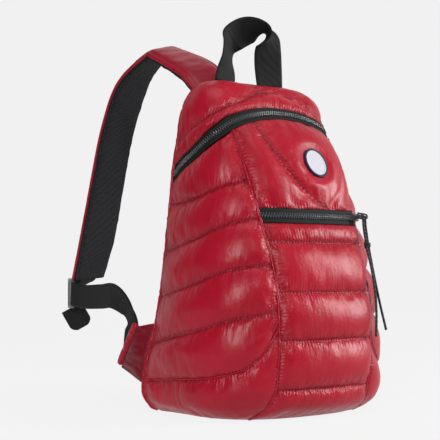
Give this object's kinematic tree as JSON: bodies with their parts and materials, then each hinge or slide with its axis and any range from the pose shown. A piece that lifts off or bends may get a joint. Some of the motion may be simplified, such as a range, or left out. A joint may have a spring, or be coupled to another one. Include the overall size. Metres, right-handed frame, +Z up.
{
  "type": "backpack",
  "caption": "Quilted puffer daypack with an arched main zip, a front pocket zip, a webbing carry handle and padded shoulder straps with ladder-lock adjusters.",
  "frame": {"origin": "centre of the flat base, on the surface that the bag stands on", "axes": "+Z up to the carry handle, -Y towards the quilted front, +X to the right seen from the front"},
  "size_m": [0.244, 0.3969, 0.4326],
  "materials": {
    "coated_nylon": "glossy coated",
    "dark_nylon": "satin",
    "black_webbing": "matte woven",
    "air_mesh": "matte mesh",
    "zip_tape": "matte woven",
    "cord": "matte",
    "black_plastic": "satin",
    "badge_face": "satin"
  },
  "bodies": {
    "root": {"front_lower_panel": "coated_nylon", "front_upper_panel": "coated_nylon", "side_panel_left": "coated_nylon", "side_panel_right": "coated_nylon", "lower_side_panel_left": "coated_nylon", "lower_side_panel_right": "coated_nylon", "top_panel": "coated_nylon", "back_panel": "air_mesh", "base_panel": "dark_nylon", "badge": "badge_face", "top_zip_tape": "zip_tape", "pocket_zip_tape": "zip_tape", "top_zip_teeth": "black_plastic", "pocket_zip_teeth": "black_plastic", "top_zip_slider": "black_plastic", "pocket_zip_slider": "black_plastic", "top_zip_pull": "black_plastic", "pocket_zip_pull": "black_plastic", "pull_cord_bight": "cord", "pull_cord_strand_long": "cord", "pull_cord_strand_short": "cord", "pull_cord_tail_long": "cord", "pull_cord_tail_short": "cord", "pull_cord_knot": "cord", "carry_handle": "black_webbing", "shoulder_strap_left": "coated_nylon", "strap_lining_left": "air_mesh", "ladder_lock_left": "black_plastic", "adjuster_webbing_left": "black_webbing", "strap_tab_left": "black_webbing", "webbing_tail_left": "black_webbing", "anchor_wing_left": "dark_nylon", "wing_hem_left": "coated_nylon", "shoulder_strap_right": "coated_nylon", "strap_lining_right": "air_mesh", "ladder_lock_right": "black_plastic", "adjuster_webbing_right": "black_webbing", "strap_tab_right": "black_webbing", "webbing_tail_right": "black_webbing", "anchor_wing_right": "dark_nylon", "wing_hem_right": "coated_nylon"}
  },
  "joints": []
}
